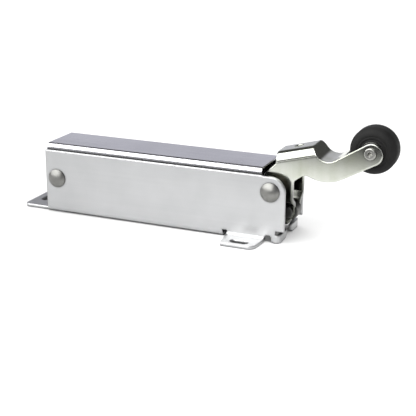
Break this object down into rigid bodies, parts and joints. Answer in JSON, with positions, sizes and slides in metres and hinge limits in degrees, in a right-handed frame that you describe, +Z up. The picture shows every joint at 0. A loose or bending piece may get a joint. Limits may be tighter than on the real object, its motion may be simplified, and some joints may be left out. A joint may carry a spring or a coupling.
{
  "type": "hydraulic door closer",
  "caption": "Surface-mounted hydraulic door closer: plated steel channel with nested cover, feet and rear tab, and a sprung, damped roller arm on a rivet at one end.",
  "frame": {"origin": "on the mounting plane, midway between the housing's walls and midway along them", "axes": "+X along the housing towards the arm and roller, +Y to the far wall, +Z up out of the mounting plane"},
  "size_m": [0.2332, 0.0678, 0.0705],
  "materials": {
    "housing_plate": "satin zinc plate",
    "cover_plate": "brushed zinc plate",
    "arm_plate": "bright zinc plate",
    "rivet_steel": "plated steel, satin",
    "plain_steel": "turned steel",
    "dark_steel": "dark oiled steel",
    "tube_steel": "dark grey paint",
    "spring_steel": "oil tempered",
    "rod_chrome": "polished",
    "gland_brass": "turned",
    "seal_rubber": "matte",
    "roller_rubber": "matte charcoal"
  },
  "bodies": {
    "housing": {"housing_channel": "housing_plate", "top_cover": "cover_plate", "rear_rivet": "rivet_steel", "pivot_rivet": "rivet_steel", "pivot_spacers": "plain_steel", "rear_spacers": "plain_steel"},
    "cylinder": {"rear_eye_cap": "plain_steel", "cylinder_tube": "tube_steel", "rod_gland": "gland_brass", "gland_oring": "seal_rubber", "rod_seal": "seal_rubber", "gland_snap_ring": "spring_steel", "spring_rear_seat": "plain_steel", "closing_spring": "spring_steel"},
    "rod": {"piston_rod": "rod_chrome", "piston": "gland_brass", "piston_ring": "seal_rubber", "piston_nut": "plain_steel", "spring_front_seat": "plain_steel", "rod_end_eye": "dark_steel"},
    "arm": {"lever_arm": "arm_plate", "pivot_bushes": "gland_brass", "crank_pin": "dark_steel", "roller_axle": "rivet_steel", "roller_washers": "plain_steel"},
    "roller": {"roller_tread": "roller_rubber", "roller_bush": "gland_brass"}
  },
  "joints": [
    {"name": "arm_pivot", "type": "hinge", "parent": "housing", "child": "arm", "pos_m": [0.069, 0, 0.0302], "axis": [0, 1, 0], "range_deg": [0, 40], "stiffness_Nm_per_rad": 1.2, "springref_deg": -51.57},
    {"name": "roller_spin", "type": "hinge", "parent": "arm", "child": "roller", "pos_m": [0.1236, 0, 0.0571], "axis": [0, 1, 0], "continuous": true},
    {"name": "strut_swing", "type": "hinge", "parent": "housing", "child": "cylinder", "pos_m": [-0.0704, 0, 0.022], "axis": [0, 1, 0], "range_deg": [0, 0.96]},
    {"name": "rod_slide", "type": "slide", "parent": "cylinder", "child": "rod", "axis": [0.9991, 0, -0.0433], "range_m": [-0.011, 0], "deforming": ["closing_spring"]}
  ],
  "couplings": [
    {"joint": "strut_swing", "follows": "arm_pivot", "ratio": 0.02369},
    {"joint": "rod_slide", "follows": "arm_pivot", "m_per_rad": -0.0155}
  ]
}
